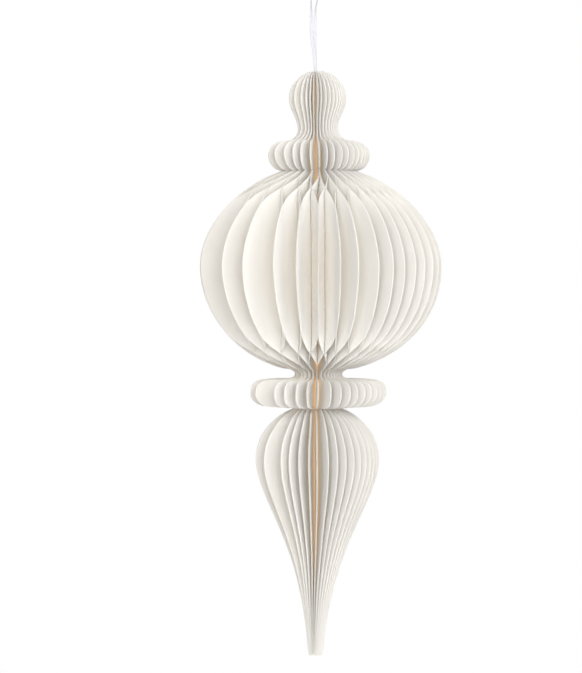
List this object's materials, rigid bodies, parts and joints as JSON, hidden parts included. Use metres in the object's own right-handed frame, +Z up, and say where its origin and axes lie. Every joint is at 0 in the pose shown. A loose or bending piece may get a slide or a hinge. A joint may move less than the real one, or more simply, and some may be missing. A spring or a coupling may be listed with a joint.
{
  "type": "hanging folded paper ornament",
  "caption": "Finial-shaped hanging ornament of folded card sheets glued into a full round fan, with knob, collars, globe and long drop, on a ribbon loop.",
  "frame": {"origin": "where a hook bears on the inside of the ribbon loop", "axes": "+Z up along the spine, towards the hook; -Y is the front that the picture shows; +X is the viewer's right"},
  "size_m": [0.1864, 0.1872, 0.5283],
  "materials": {
    "ivory_card": "matte uncoated card with soft fibre tooth",
    "pale_ribbon": "satin ribbon, slightly lilac white"
  },
  "bodies": {
    "root": {"folded_sheet_01": "ivory_card", "folded_sheet_02": "ivory_card", "folded_sheet_03": "ivory_card", "folded_sheet_04": "ivory_card", "folded_sheet_05": "ivory_card", "folded_sheet_06": "ivory_card", "folded_sheet_07": "ivory_card", "folded_sheet_08": "ivory_card", "folded_sheet_09": "ivory_card", "folded_sheet_10": "ivory_card", "folded_sheet_11": "ivory_card", "folded_sheet_12": "ivory_card", "folded_sheet_13": "ivory_card", "folded_sheet_14": "ivory_card", "folded_sheet_15": "ivory_card", "folded_sheet_16": "ivory_card", "folded_sheet_17": "ivory_card", "folded_sheet_18": "ivory_card", "folded_sheet_19": "ivory_card", "folded_sheet_20": "ivory_card", "folded_sheet_21": "ivory_card", "folded_sheet_22": "ivory_card", "folded_sheet_23": "ivory_card", "folded_sheet_24": "ivory_card", "folded_sheet_25": "ivory_card", "folded_sheet_26": "ivory_card", "folded_sheet_27": "ivory_card", "folded_sheet_28": "ivory_card", "folded_sheet_29": "ivory_card", "folded_sheet_30": "ivory_card", "hanging_ribbon": "pale_ribbon", "ribbon_knot": "pale_ribbon"}
  },
  "joints": []
}
